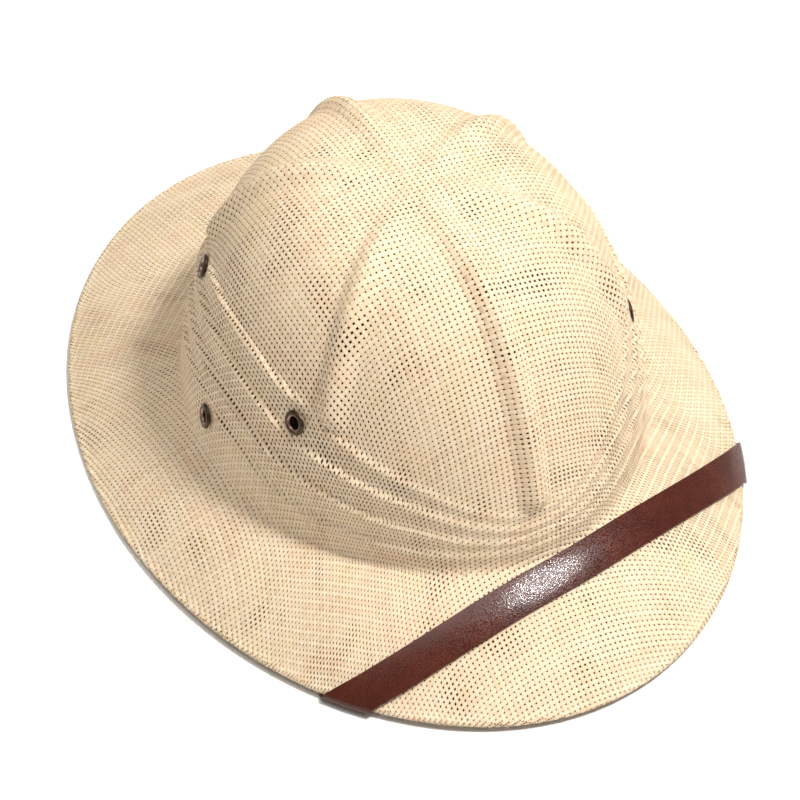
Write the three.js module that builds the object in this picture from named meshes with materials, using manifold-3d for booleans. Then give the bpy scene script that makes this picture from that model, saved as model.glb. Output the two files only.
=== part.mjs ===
// A pith helmet of woven straw: one pressed shell with a six-ribbed crown and a sloping
// brim, six metal eyelets that air the crown, and a chin strap that is worn over the
// front brim. Millimetres, +Z up, the front of the hat towards -Y, the wearer's right
// towards -X. The origin lies under the middle of the brim, on the surface below the hat.
// Angles run round the hat in degrees, from the front (0) towards the wearer's left (+X).

import * as THREE from 'three';
import { mergeVertices } from 'three/addons/utils/BufferGeometryUtils.js';
import Module from 'manifold-3d';

// Brim
const brimHalfLength = 176.4;
const brimHalfWidth = 135.7;
const brimDrop = 33.3;
const brimFlare = 0.3;
const hemRadius = 1.6;
const hemFootAngle = 65;

// Crown
const crownHalfLength = 110.5;
const crownHalfWidth = 96.6;
const crownForward = 9.4;
const crownHeight = 114;
const crownLean = 2;
const planSquareness = 1.91;
const domeFall = 1.3;
const domeShoulder = 3.75;

// Straw
const wall = 1.8;
const footRiseFillet = 3;
const footReachFillet = 2.2;

// Ribs pressed up in the crown
const ribHeight = 4.2;
const ribHalfWidth = 9;
const ribTopShare = 0.3;

// Folds pressed round the foot of the crown
const foldDepth = 2;
const foldLedge = 2.4;

// Eyelets
const eyeletRadius = 5.25;
const eyeletBoreRadius = 2.7;
const eyeletBarrelWall = 0.5;
const eyeletRoll = 1.3;
const eyeletBackRadius = 4.7;
const eyeletBackThickness = 0.6;

// Chin strap
const strapWidth = 15.2;
const strapThickness = 1.5;
const strapRightAngle = -34.8;
const strapLeftAngle = 51.8;
const strapMiddleAngle = 6;
const strapMiddleInset = 9.2;
const strapEndPastEyelet = 8;
const strapInsideRoom = 0.7;

// Clearance between pieces that touch on the real hat
const gap = 0.3;

// Ribs in order round the crown. The angles are those of the hat, which is pressed by
// hand and is not quite even.
const ribs = [
  { name: 'rear right', angle: -131 },
  { name: 'front right', angle: -50.5 },
  { name: 'front', angle: 0 },
  { name: 'front left', angle: 51 },
  { name: 'rear left', angle: 119 },
  { name: 'back', angle: 180 },
];

// Folds from the highest down. Each row gives the height of a fold's crest, as a share of
// the crown's height, at seven angles from the front to the back, and how deep the fold is
// as a share of the fold depth.
const foldAngles = [0, 30, 60, 90, 120, 150, 180];
const folds = [
  { name: 'first', crest: [0.205, 0.37, 0.525, 0.59, 0.55, 0.4, 0.23], depth: 1 },
  { name: 'second', crest: [0.15, 0.28, 0.39, 0.477, 0.44, 0.3, 0.165], depth: 0.95 },
  { name: 'third', crest: [0.1, 0.175, 0.26, 0.35, 0.32, 0.2, 0.11], depth: 0.85 },
  { name: 'lowest', crest: [0.058, 0.085, 0.13, 0.235, 0.2, 0.1, 0.06], depth: 0.5 },
];

// Eyelets by their angle and their height as a share of the crown's height.
const eyelets = [
  { name: 'eyelet_right_rear', angle: -123, height: 0.49, strap: false },
  { name: 'eyelet_right_low', angle: -91.5, height: 0.165, strap: true },
  { name: 'eyelet_right_front', angle: -60, height: 0.455, strap: false },
  { name: 'eyelet_left_front', angle: 62, height: 0.38, strap: false },
  { name: 'eyelet_left_low', angle: 91.5, height: 0.165, strap: true },
  { name: 'eyelet_left_rear', angle: 109, height: 0.47, strap: false },
];

const radians = THREE.MathUtils.degToRad;
const lerp = THREE.MathUtils.lerp;
const smooth = THREE.MathUtils.smoothstep;
const clamp = THREE.MathUtils.clamp;

const hemFootHeight = hemRadius * Math.sin(radians(hemFootAngle));
const strapLift = hemRadius + gap + strapThickness - hemFootHeight;
const crownFootHeight = brimDrop + hemRadius;

// Degrees away from the front, the same on both sides.
function turnFromFront(angle) {
  return Math.abs(THREE.MathUtils.euclideanModulo(angle + 180, 360) - 180);
}

// The brim rests on its flat hem at the back and on the two passes of the strap in front,
// so its edge is lifted by the strap in front of the first angle and lies flat past the
// second.
const liftedTo = 62;
const flatFrom = 112;

function hemCentreHeight(angle) {
  return hemFootHeight + strapLift * (1 - smooth(turnFromFront(angle), liftedTo, flatFrom));
}

// A point of the plan, given by its angle, on an oval with the given half sizes.
function ovalPoint(angle, halfLength, halfWidth, squareness) {
  const s = Math.sin(radians(angle));
  const c = Math.cos(radians(angle));
  const sum = Math.abs(c / halfLength) ** squareness + Math.abs(s / halfWidth) ** squareness;
  const radius = sum ** (-1 / squareness);
  return new THREE.Vector2(radius * s, -radius * c);
}

function crownFoot(angle) {
  const foot = ovalPoint(angle, crownHalfLength, crownHalfWidth, planSquareness);
  return foot.setY(foot.y - crownForward);
}

// The centre line of the hem, inside the brim's outline by the hem's radius.
function hemLine(angle) {
  const edge = ovalPoint(angle, brimHalfLength, brimHalfWidth, 2);
  const outward = new THREE.Vector2(edge.x / brimHalfWidth ** 2, edge.y / brimHalfLength ** 2);
  return edge.sub(outward.normalize().multiplyScalar(hemRadius));
}

// The crown's smooth form. Its radius falls from the foot to the top as the height rises:
// radius ** domeShoulder + height ** domeFall = 1, both as shares.
function radiusShare(height) {
  return (1 - clamp(height, 0, 1) ** domeFall) ** (1 / domeShoulder);
}

function crownPoint(angle, height, outwards) {
  const share = radiusShare(height);
  const foot = ovalPoint(angle, crownHalfLength, crownHalfWidth, planSquareness);
  const x = foot.x * share;
  const y = foot.y * share;
  const normal = new THREE.Vector3(0, 0, 1);
  if (share > 1e-6) {
    const power = planSquareness - 1;
    const steep = domeShoulder * share ** (domeShoulder - planSquareness);
    normal.set(
      steep * Math.sign(x) * Math.abs(x) ** power / crownHalfWidth ** planSquareness,
      steep * Math.sign(y) * Math.abs(y) ** power / crownHalfLength ** planSquareness,
      domeFall * Math.max(height, 0) ** (domeFall - 1) / crownHeight,
    ).normalize();
  }
  const point = new THREE.Vector3(
    x - crownLean * height,
    y - crownForward,
    crownFootHeight + crownHeight * height,
  );
  return point.addScaledVector(normal, outwards);
}

// The height of a fold's crest at any angle, smoothly through its seven named heights.
function foldHeight(fold, angle) {
  const turned = turnFromFront(angle);
  const step = foldAngles[1] - foldAngles[0];
  const last = foldAngles.length - 1;
  const index = Math.min(Math.floor(turned / step), last - 1);
  const at = (i) => fold.crest[i < 0 ? -i : i > last ? 2 * last - i : i];
  const before = at(index - 1);
  const from = at(index);
  const to = at(index + 1);
  const after = at(index + 2);
  const t = turned / step - index;
  const slope = (to - before) / 2;
  const nextSlope = (after - from) / 2;
  const span = to - from;
  return from + slope * t + (3 * span - 2 * slope - nextSlope) * t ** 2
    + (slope + nextSlope - 2 * span) * t ** 3;
}

// The folds are deep at the sides and almost pressed out at the front and the back.
const foldFrontShare = 0.35;
const foldDeepensFrom = 0.1;
const foldFullFrom = 0.75;

function foldStrength(angle) {
  const side = Math.abs(Math.sin(radians(angle)));
  return lerp(foldFrontShare, 1, smooth(side, foldDeepensFrom, foldFullFrom));
}

// How far the ribs stand out of the crown's smooth form. They rise just above the first
// fold and grow low towards the top of the crown.
const ribStart = 0.01;
const ribRise = 0.07;
const ribLowWithin = 0.05;
const ribFullFrom = 0.6;
const ribsMeetWithin = 0.02;

function ribRelief(angle, height) {
  const share = radiusShare(height);
  const foot = ovalPoint(angle, crownHalfLength, crownHalfWidth, planSquareness).length();
  const fold = foldHeight(folds[0], angle);
  const risen = smooth(height, fold - ribStart, fold + ribRise);
  const grown = smooth(share, ribLowWithin, ribFullFrom);
  const crest = ribHeight * risen * lerp(ribTopShare, 1, grown);
  let relief = 0;
  for (const rib of ribs) {
    const turn = radians(angle - rib.angle);
    if (Math.cos(turn) < 0 && share > ribsMeetWithin) continue;
    const aside = Math.min(1, Math.abs(share * foot * Math.sin(turn)) / ribHalfWidth);
    relief = Math.max(relief, crest * (0.5 + 0.5 * Math.cos(Math.PI * aside)));
  }
  return relief;
}

// Relief is pressed flat where an eyelet is set, and fades back in round it.
const eyeletFlatRing = 2;
const eyeletFadeRing = 7;

function eyeletFlat(angle, height) {
  const point = crownPoint(angle, height, 0);
  let keep = 1;
  for (const eyelet of eyelets) {
    const away = point.distanceTo(crownPoint(eyelet.angle, eyelet.height, 0));
    const flat = eyeletRadius + eyeletFlatRing;
    keep = Math.min(keep, smooth(away, flat, eyeletRadius + eyeletFadeRing));
  }
  return keep;
}

// Rows of the crown at one angle, from the top down: heights, and how far each stands out.
const domeSteps = [0.98, 0.925, 0.83, 0.71, 0.57, 0.43, 0.29, 0.14];
const ledgeShare = foldLedge / crownHeight;

function crownRows(angle) {
  const rows = [];
  const start = foldHeight(folds[0], angle) + ledgeShare;
  const startTurn = Math.asin(start ** (domeFall / 2));
  for (const step of domeSteps) {
    const height = Math.sin(lerp(startTurn, Math.PI / 2, step)) ** (2 / domeFall);
    rows.push({ height, relief: ribRelief(angle, height) * eyeletFlat(angle, height) });
  }
  for (const fold of folds) {
    const crest = foldHeight(fold, angle);
    const ledge = crest + ledgeShare;
    const depth = foldDepth * fold.depth * foldStrength(angle);
    rows.push({ height: ledge, relief: ribRelief(angle, ledge) * eyeletFlat(angle, ledge) });
    const crestRelief = Math.max(depth, ribRelief(angle, crest));
    rows.push({ height: crest, relief: crestRelief * eyeletFlat(angle, crest) });
  }
  return rows;
}

// The middle surface of the brim in the upright section at one angle. A share of 0 is the
// foot of the crown and 1 the hem. It returns the point, the directions down the brim and
// square to it, and the brim's reach in plan.
function brimSection(angle, share) {
  const foot = crownFoot(angle);
  const along = hemLine(angle).sub(foot);
  const reach = along.length() + wall / 2;
  along.normalize();
  foot.addScaledVector(along, -wall / 2);
  const top = crownFootHeight - wall / 2;
  const drop = top - hemCentreHeight(angle);
  const fall = (1 - brimFlare) * share + brimFlare * share ** 2;
  const steep = (1 - brimFlare + 2 * brimFlare * share) * drop / reach;
  const point = new THREE.Vector3(
    foot.x + along.x * reach * share,
    foot.y + along.y * reach * share,
    top - drop * fall,
  );
  const down = new THREE.Vector3(along.x, along.y, -steep).normalize();
  const square = new THREE.Vector3(along.x * steep, along.y * steep, 1).normalize();
  return { point, down, square, reach };
}

function offBrim(section, distance) {
  return section.point.clone().addScaledVector(section.square, distance);
}

// The turned hem is a round bead with a flat foot under it.
function hemRows(angle) {
  const section = brimSection(angle, 1);
  const outward = new THREE.Vector3(section.down.x, section.down.y, 0).normalize();
  const turns = [100, 42, -14, -hemFootAngle, hemFootAngle - 180, -160];
  return turns.map((turn) => {
    const point = section.point.clone();
    point.addScaledVector(outward, hemRadius * Math.cos(radians(turn)));
    point.z += hemRadius * Math.sin(radians(turn));
    return point;
  });
}

const filletSteps = [0.36, 0.68];

function filletRows(start, corner, end) {
  const curve = new THREE.QuadraticBezierCurve3(start, corner, end);
  return [start, ...filletSteps.map((step) => curve.getPoint(step)), end];
}

// One whole section of the straw: its outer side from the top of the crown down to the
// hem, then its inner side back up.
const brimSteps = [0.24, 0.44, 0.64, 0.84];
const filletBelowFold = 0.7;

function sectionRows(angle) {
  const outer = [];
  const inner = [];
  for (const { height, relief } of crownRows(angle)) {
    outer.push(crownPoint(angle, height, relief));
    inner.push(crownPoint(angle, height, relief - wall));
  }
  const lowest = foldHeight(folds[folds.length - 1], angle);
  const rise = Math.min(footRiseFillet / crownHeight, filletBelowFold * lowest);
  const fillet = footReachFillet / brimSection(angle, 0).reach;
  const brimTop = brimSection(angle, fillet);
  const outerCorner = crownPoint(angle, 0, 0);
  const innerCorner = crownPoint(angle, 0, -wall);
  innerCorner.z -= wall;
  const outerEnd = offBrim(brimTop, wall / 2);
  const innerEnd = offBrim(brimTop, -wall / 2);
  outer.push(...filletRows(crownPoint(angle, rise, 0), outerCorner, outerEnd));
  inner.push(...filletRows(crownPoint(angle, rise, -wall), innerCorner, innerEnd));
  for (const step of brimSteps) {
    const section = brimSection(angle, lerp(fillet, 1, step));
    outer.push(offBrim(section, wall / 2));
    inner.push(offBrim(section, -wall / 2));
  }
  return [...outer, ...hemRows(angle), ...inner.reverse()];
}

// Angles of the sections: close together over each rib, evenly spread between ribs.
const ribSteps = [-2.7, 0, 2.7];
const columnSpacing = 6;

function columnAngles() {
  const angles = [];
  ribs.forEach((rib, index) => {
    const next = ribs[(index + 1) % ribs.length];
    const span = THREE.MathUtils.euclideanModulo(next.angle - rib.angle, 360);
    const count = Math.round(span / columnSpacing);
    angles.push(...ribSteps.map((step) => rib.angle + step));
    for (let i = 1; i < count; i += 1) {
      angles.push(rib.angle + span * i / count);
    }
  });
  return angles;
}

const wasm = await Module();
wasm.setup();

function solidOf(geometry) {
  const bare = geometry.clone();
  bare.deleteAttribute('normal');
  bare.deleteAttribute('uv');
  const merged = mergeVertices(bare, 1e-4);
  return new wasm.Manifold(new wasm.Mesh({
    numProp: 3,
    vertProperties: new Float32Array(merged.attributes.position.array),
    triVerts: new Uint32Array(merged.index.array),
  }));
}

function geometryOf(solid) {
  const mesh = solid.getMesh();
  const geometry = new THREE.BufferGeometry();
  geometry.setAttribute('position', new THREE.BufferAttribute(mesh.vertProperties, 3));
  geometry.setIndex(new THREE.BufferAttribute(mesh.triVerts, 1));
  return geometry;
}

// A closed geometry of numbered points and triangles, turned so that its faces point out.
function closedGeometry(points, triangles) {
  let volume = 0;
  for (const [a, b, c] of triangles) {
    volume += points[a].dot(new THREE.Vector3().crossVectors(points[b], points[c]));
  }
  const outward = volume > 0 ? triangles : triangles.map(([a, b, c]) => [a, c, b]);
  const geometry = new THREE.BufferGeometry();
  const places = points.flatMap((point) => point.toArray());
  geometry.setAttribute('position', new THREE.Float32BufferAttribute(places, 3));
  geometry.setIndex(outward.flat());
  return geometry;
}

// Straw shell
function strawGeometry() {
  const columns = columnAngles().map(sectionRows);
  const rows = columns[0].length;
  const points = columns.flat();
  const triangles = [];
  const at = (column, row) => (column % columns.length) * rows + row;
  for (let c = 0; c < columns.length; c += 1) {
    for (let r = 0; r < rows - 1; r += 1) {
      triangles.push([at(c, r), at(c, r + 1), at(c + 1, r + 1)]);
      triangles.push([at(c, r), at(c + 1, r + 1), at(c + 1, r)]);
    }
  }
  const topRelief = ribRelief(0, 1);
  const outerTop = points.push(crownPoint(0, 1, topRelief)) - 1;
  const innerTop = points.push(crownPoint(0, 1, topRelief - wall)) - 1;
  for (let c = 0; c < columns.length; c += 1) {
    triangles.push([outerTop, at(c, 0), at(c + 1, 0)]);
    triangles.push([innerTop, at(c + 1, rows - 1), at(c, rows - 1)]);
  }
  return closedGeometry(points, triangles);
}

// Eyelets. Each is a rolled ring outside the straw, a barrel through it and a flat ring
// behind it, which holds the strap's end too at the two low eyelets. Heights are measured
// along the eyelet's axis, from the crown's smooth form outwards.
const seatHeight = 0.2;
const eyeletBarrelRadius = eyeletBoreRadius + eyeletBarrelWall;

function backSeat(eyelet) {
  const strap = eyelet.strap ? strapInsideRoom + strapThickness : 0;
  return -wall - seatHeight - strap;
}

function eyeletGeometry(eyelet) {
  const front = seatHeight + gap;
  const back = backSeat(eyelet) - gap;
  const roll = eyeletRadius - eyeletBoreRadius;
  const profile = [
    [eyeletBarrelRadius, front],
    [eyeletRadius, front],
    [eyeletRadius, front + 0.4 * eyeletRoll],
    [eyeletRadius - 0.25 * roll, front + 0.85 * eyeletRoll],
    [eyeletRadius - 0.55 * roll, front + eyeletRoll],
    [eyeletBoreRadius + 0.15 * roll, front + 0.75 * eyeletRoll],
    [eyeletBoreRadius, front + 0.2 * eyeletRoll],
    [eyeletBoreRadius, back - eyeletBackThickness],
    [eyeletBackRadius, back - eyeletBackThickness],
    [eyeletBackRadius, back],
    [eyeletBarrelRadius, back],
    [eyeletBarrelRadius, front],
  ];
  const ring = profile.map(([radius, height]) => new THREE.Vector2(radius, height));
  const lathe = new THREE.LatheGeometry(ring, 14);
  const solid = solidOf(lathe.rotateX(Math.PI / 2));
  return geometryOf(solid);
}

// The place of an eyelet: +Z of its own frame points out of the crown.
function eyeletPlace(eyelet) {
  const origin = crownPoint(eyelet.angle, eyelet.height, 0);
  const outward = crownPoint(eyelet.angle, eyelet.height, 1).sub(origin);
  const turn = new THREE.Quaternion();
  turn.setFromUnitVectors(new THREE.Vector3(0, 0, 1), outward);
  return { origin, turn };
}

// A cylinder on an eyelet's axis between two heights, to cut with.
function eyeletCutter(eyelet, radius, low, high) {
  const cutter = new THREE.CylinderGeometry(radius, radius, high - low, 20);
  cutter.rotateX(Math.PI / 2);
  cutter.translate(0, 0, (low + high) / 2);
  const { origin, turn } = eyeletPlace(eyelet);
  cutter.applyQuaternion(turn);
  cutter.translate(origin.x, origin.y, origin.z);
  return solidOf(cutter);
}

function cutStraw() {
  let straw = solidOf(strawGeometry());
  const reach = 2 * eyeletRadius;
  for (const eyelet of eyelets) {
    const hole = eyeletCutter(eyelet, eyeletBarrelRadius + gap, -reach, reach);
    const seat = eyeletCutter(eyelet, eyeletRadius + gap, seatHeight, reach);
    const backing = eyeletCutter(eyelet, eyeletBackRadius + gap, -reach, -wall - seatHeight);
    straw = straw.subtract(hole).subtract(seat).subtract(backing);
  }
  return geometryOf(straw);
}

// Chin strap. It crosses the brim in front of the crown, turns round the hem on each side,
// and runs below the brim and up inside the crown to the low eyelet that holds its end.
// Each station has a middle, a width vector to one edge, and the direction away from the
// straw; on the brim and round the hem every point is laid on the straw by itself.
const widthSteps = [-1, 0, 1];

// The strap's middle line on the brim, as a share from the crown's foot to the hem. It lies
// nearest the crown in the middle and curves out to the hem on both sides.
const strapCurve = 2.2;

function strapShare(angle) {
  const reach = brimSection(strapMiddleAngle, 0).reach;
  const nearest = strapMiddleInset / reach;
  const end = angle < strapMiddleAngle ? strapRightAngle : strapLeftAngle;
  const away = Math.abs((angle - strapMiddleAngle) / (end - strapMiddleAngle));
  return nearest + (1 - nearest) * away ** strapCurve;
}

// The brim section that passes over a point of the plan.
function brimAt(x, y) {
  let angle = THREE.MathUtils.radToDeg(Math.atan2(x, -y));
  let share = 0.5;
  for (let i = 0; i < 12; i += 1) {
    const here = brimSection(angle, share).point;
    const turned = brimSection(angle + 0.1, share).point.sub(here).divideScalar(0.1);
    const moved = brimSection(angle, share + 0.01).point.sub(here).divideScalar(0.01);
    const size = turned.x * moved.y - turned.y * moved.x;
    const dx = x - here.x;
    const dy = y - here.y;
    angle += (dx * moved.y - dy * moved.x) / size;
    share += (turned.x * dy - turned.y * dx) / size;
  }
  return { angle, share };
}

// Distance of the strap's near face from the middle of the straw, wider over the hem.
const standOffGrowsFrom = 0.8;
const standOffFullFrom = 0.97;

function strapStandOff(share) {
  const grown = smooth(share, standOffGrowsFrom, standOffFullFrom);
  return lerp(wall / 2, hemRadius, grown) + gap;
}

function hemDirection(angle) {
  return brimSection(angle + 0.5, 1).point.sub(brimSection(angle - 0.5, 1).point).normalize();
}

function strapPathPoint(angle) {
  return brimSection(angle, strapShare(angle));
}

function strapPathDirection(angle) {
  const ahead = strapPathPoint(angle + 0.3).point;
  return ahead.sub(strapPathPoint(angle - 0.3).point).normalize();
}

// One station on the brim: near and far points across the strap. Towards the hem the
// station turns until it lies along the hem.
const stationTurnsFrom = 0.35;
const stationTurnedAt = 0.96;

function brimStation(angle) {
  const share = strapShare(angle);
  const middle = strapPathPoint(angle);
  const forward = strapPathDirection(angle);
  const across = new THREE.Vector3().crossVectors(middle.square, forward).normalize();
  const side = Math.sign(angle - strapMiddleAngle);
  const along = hemDirection(angle).multiplyScalar(side || 1);
  across.lerp(along, smooth(share, stationTurnsFrom, stationTurnedAt)).normalize();
  const half = strapWidth / 2 / new THREE.Vector3().crossVectors(across, forward).length();
  const near = [];
  const far = [];
  for (const step of widthSteps) {
    const place = middle.point.clone().addScaledVector(across, step * half);
    const found = brimAt(place.x, place.y);
    const section = brimSection(found.angle, Math.min(found.share, 1));
    const standOff = strapStandOff(found.share);
    near.push(offBrim(section, standOff));
    far.push(offBrim(section, standOff + strapThickness));
  }
  return { near, far };
}

// Where the strap leaves the brim: half its length along the hem, and how far it drifts
// along the hem for each millimetre of its way round it.
const justInside = 0.6;

function hemCrossing(angle) {
  const inside = angle < strapMiddleAngle ? angle + justInside : angle - justInside;
  const forward = strapPathDirection(inside);
  const along = hemDirection(angle);
  const slant = new THREE.Vector3().crossVectors(forward, along).length();
  return { half: strapWidth / 2 / slant, drift: Math.abs(forward.dot(along)) / slant };
}

// Stations round the hem, from the top of the brim to below it.
const hemTurnSteps = [36, 72, 108, 144, 180];

function hemStations(angle) {
  const side = Math.sign(angle - strapMiddleAngle);
  const { half, drift } = hemCrossing(angle);
  const perDegree = brimSection(angle + 1, 1).point.distanceTo(brimSection(angle, 1).point);
  const radius = hemRadius + gap;
  return hemTurnSteps.map((turn) => {
    const drifted = side * drift * radius * radians(turn) / perDegree;
    const near = [];
    const far = [];
    for (const step of widthSteps) {
      const place = angle + drifted + side * step * half / perDegree;
      const section = brimSection(place, 1);
      const spoke = section.square.clone().multiplyScalar(Math.cos(radians(turn)));
      spoke.addScaledVector(section.down, Math.sin(radians(turn)));
      near.push(section.point.clone().addScaledVector(spoke, radius));
      far.push(section.point.clone().addScaledVector(spoke, radius + strapThickness));
    }
    return { near, far };
  });
}

// The hidden stretch from below the hem to past the low eyelet, a ribbon that turns from
// lying below the brim to lying inside the crown. It has five knots, each with a point and
// the direction in which the straw lies.
const hiddenSteps = 15;
const footPassTurn = 24;
const footPassRoom = 3;
const footPassRise = 0.8;
const footPassLevel = 0.8;
const wallStart = 0.42;
const turnedWithin = 0.22;

function hiddenKnots(hemAngle, eyelet) {
  const side = Math.sign(eyelet.angle);
  const inside = -wall - strapInsideRoom - strapThickness / 2;
  const perDegree = crownPoint(eyelet.angle + 1, 0, 0).distanceTo(crownPoint(eyelet.angle, 0, 0));
  const rise = footPassRise * eyelet.height / footPassTurn;
  const wallKnot = (turn, drop) => {
    const angle = eyelet.angle + side * turn;
    const height = eyelet.height + rise * turn;
    const point = crownPoint(angle, height, inside);
    const straw = crownPoint(angle, height, inside + 1).sub(point);
    point.z -= drop;
    return { point, straw };
  };
  const last = hemStations(hemAngle).at(-1);
  const start = last.near[1].clone().lerp(last.far[1], 0.5);
  const foot = wallKnot(-footPassTurn, wall + strapThickness);
  foot.point.addScaledVector(foot.straw, -footPassRoom);
  foot.straw.add(new THREE.Vector3(0, 0, footPassLevel)).normalize();
  return [
    { point: start, straw: brimSection(hemAngle, 1).square },
    foot,
    wallKnot(-wallStart * footPassTurn, 0),
    wallKnot(0, 0),
    wallKnot(strapEndPastEyelet / perDegree, 0),
  ];
}

function hiddenStations(hemAngle, eyelet) {
  const knots = hiddenKnots(hemAngle, eyelet);
  const line = new THREE.CatmullRomCurve3(knots.map((knot) => knot.point));
  const last = hemStations(hemAngle).at(-1);
  const slantAcross = last.near[2].clone().sub(last.near[0]).normalize();
  let before = slantAcross;
  const stations = [];
  for (let i = 1; i <= hiddenSteps; i += 1) {
    const share = i / hiddenSteps;
    const index = Math.min(Math.floor(share * (knots.length - 1)), knots.length - 2);
    const between = share * (knots.length - 1) - index;
    const straw = knots[index].straw.clone().lerp(knots[index + 1].straw, between).normalize();
    const forward = line.getTangent(share);
    const across = new THREE.Vector3().crossVectors(straw, forward).normalize();
    across.multiplyScalar(Math.sign(across.dot(before)));
    before = across.clone();
    across.lerp(slantAcross, 1 - smooth(share, 0, turnedWithin)).normalize();
    const towards = new THREE.Vector3().crossVectors(across, forward);
    const half = strapWidth / 2 / towards.length();
    towards.normalize().multiplyScalar(Math.sign(towards.dot(straw)) * strapThickness / 2);
    const middle = line.getPoint(share);
    const rowAt = (offset) => widthSteps.map(
      (step) => middle.clone().addScaledVector(across, step * half).addScaledVector(towards, offset),
    );
    stations.push({ near: rowAt(1), far: rowAt(-1) });
  }
  return stations;
}

const brimStations = 21;

function strapGeometry(rightEyelet, leftEyelet) {
  const stations = [
    ...hiddenStations(strapRightAngle, rightEyelet).reverse(),
    ...hemStations(strapRightAngle).reverse(),
  ];
  for (let i = 0; i <= brimStations; i += 1) {
    stations.push(brimStation(lerp(strapRightAngle, strapLeftAngle, i / brimStations)));
  }
  stations.push(...hemStations(strapLeftAngle), ...hiddenStations(strapLeftAngle, leftEyelet));
  const rings = stations.map(({ near, far }) => [...near, ...far.reverse()]);
  const size = rings[0].length;
  const at = (station, index) => station * size + index % size;
  const triangles = [];
  for (let s = 0; s < rings.length - 1; s += 1) {
    for (let i = 0; i < size; i += 1) {
      triangles.push([at(s, i), at(s, i + 1), at(s + 1, i + 1)]);
      triangles.push([at(s, i), at(s + 1, i + 1), at(s + 1, i)]);
    }
  }
  const end = rings.length - 1;
  for (const [a, b, c] of [[0, 5, 1], [1, 5, 4], [1, 4, 2], [2, 4, 3]]) {
    triangles.push([at(0, a), at(0, b), at(0, c)]);
    triangles.push([at(end, a), at(end, c), at(end, b)]);
  }
  return closedGeometry(rings.flat(), triangles);
}

function cutStrap() {
  const [rightEyelet, leftEyelet] = eyelets.filter((eyelet) => eyelet.strap);
  let strap = solidOf(strapGeometry(rightEyelet, leftEyelet));
  for (const eyelet of [rightEyelet, leftEyelet]) {
    const reach = 2 * eyeletRadius;
    strap = strap.subtract(eyeletCutter(eyelet, eyeletBarrelRadius + gap, -reach, reach));
  }
  return geometryOf(strap);
}

const straw = new THREE.MeshStandardMaterial({ color: 0xe6cfa4, roughness: 0.75, metalness: 0 });
const leather = new THREE.MeshStandardMaterial({ color: 0x5a2a17, roughness: 0.4, metalness: 0 });
const bronze = new THREE.MeshStandardMaterial({ color: 0x4a3728, roughness: 0.4, metalness: 0.9 });

function named(name, geometry, material) {
  const mesh = new THREE.Mesh(geometry, material.clone());
  mesh.name = name;
  return mesh;
}

const helmet = new THREE.Group();
helmet.add(named('straw_shell', cutStraw(), straw));
helmet.add(named('chin_strap', cutStrap(), leather));
for (const eyelet of eyelets) {
  const mesh = named(eyelet.name, eyeletGeometry(eyelet), bronze);
  const { origin, turn } = eyeletPlace(eyelet);
  mesh.position.copy(origin);
  mesh.quaternion.copy(turn);
  helmet.add(mesh);
}

export default helmet;
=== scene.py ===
# %% [markdown]
# # A woven straw pith helmet
# The helmet is three things: a shell of woven paper straw, pressed over a block into a
# ribbed crown and a sloping brim; six metal eyelets that let air into the crown; and a
# leather chin strap that is worn over the front of the brim. Its exact sizes are in a
# ready frame that is loaded first. This lesson gives the frame its looks: the weave is
# made strand by strand, the eyelets are turned, and the strap gets soft edges.

# %% Load the frame
import math

import bpy
import numpy as np
from mathutils import Matrix, Vector


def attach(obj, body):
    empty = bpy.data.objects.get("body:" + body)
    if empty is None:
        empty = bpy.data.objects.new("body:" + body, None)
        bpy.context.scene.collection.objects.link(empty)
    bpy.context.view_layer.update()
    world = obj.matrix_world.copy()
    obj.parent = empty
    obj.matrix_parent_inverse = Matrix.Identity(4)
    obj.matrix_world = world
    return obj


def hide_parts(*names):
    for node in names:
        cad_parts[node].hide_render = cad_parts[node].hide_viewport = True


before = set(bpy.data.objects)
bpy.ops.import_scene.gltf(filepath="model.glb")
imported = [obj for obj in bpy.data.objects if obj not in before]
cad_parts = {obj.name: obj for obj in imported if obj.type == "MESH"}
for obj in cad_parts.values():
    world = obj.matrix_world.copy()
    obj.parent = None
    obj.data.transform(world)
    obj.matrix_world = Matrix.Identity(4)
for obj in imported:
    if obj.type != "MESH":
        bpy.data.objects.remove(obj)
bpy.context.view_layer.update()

MM = 0.001
print("frame pieces:", sorted(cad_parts))

# %% [markdown]
# ## Camera
# The camera stands at the helmet's front right and looks down on it, with a long lens
# from about a metre and a half away. Its place is worked out from a turn, a height angle
# and a small roll, which is easier to read than three bare rotation numbers. The slight
# lens shift centres the helmet in the picture as a crop would.

# %% Camera
CAMERA_TURN = math.radians(-29.11)
CAMERA_HEIGHT = math.radians(46.79)
CAMERA_ROLL = math.radians(2.13)
CAMERA_AIM = Vector((0, -1.72, 34.9)) * MM
CAMERA_DISTANCE = 1.43725
LENS_MM = 152.6
LENS_SHIFT = (-0.00505, -0.0439)

backward = Vector((
    math.sin(CAMERA_TURN) * math.cos(CAMERA_HEIGHT),
    -math.cos(CAMERA_TURN) * math.cos(CAMERA_HEIGHT),
    math.sin(CAMERA_HEIGHT),
))
level_right = Vector((math.cos(CAMERA_TURN), math.sin(CAMERA_TURN), 0))
level_up = backward.cross(level_right)
right = math.cos(CAMERA_ROLL) * level_right + math.sin(CAMERA_ROLL) * level_up
up = backward.cross(right)

camera_data = bpy.data.cameras.new("camera")
camera_data.sensor_width = 36
camera_data.lens = LENS_MM
camera_data.shift_x, camera_data.shift_y = LENS_SHIFT
camera = bpy.data.objects.new("camera", camera_data)
bpy.context.scene.collection.objects.link(camera)
turned = Matrix((right, up, backward)).transposed().to_4x4()
camera.matrix_world = Matrix.Translation(CAMERA_AIM + backward * CAMERA_DISTANCE) @ turned
bpy.context.scene.camera = camera
print("camera stands at", [round(c, 3) for c in camera.location])

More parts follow.
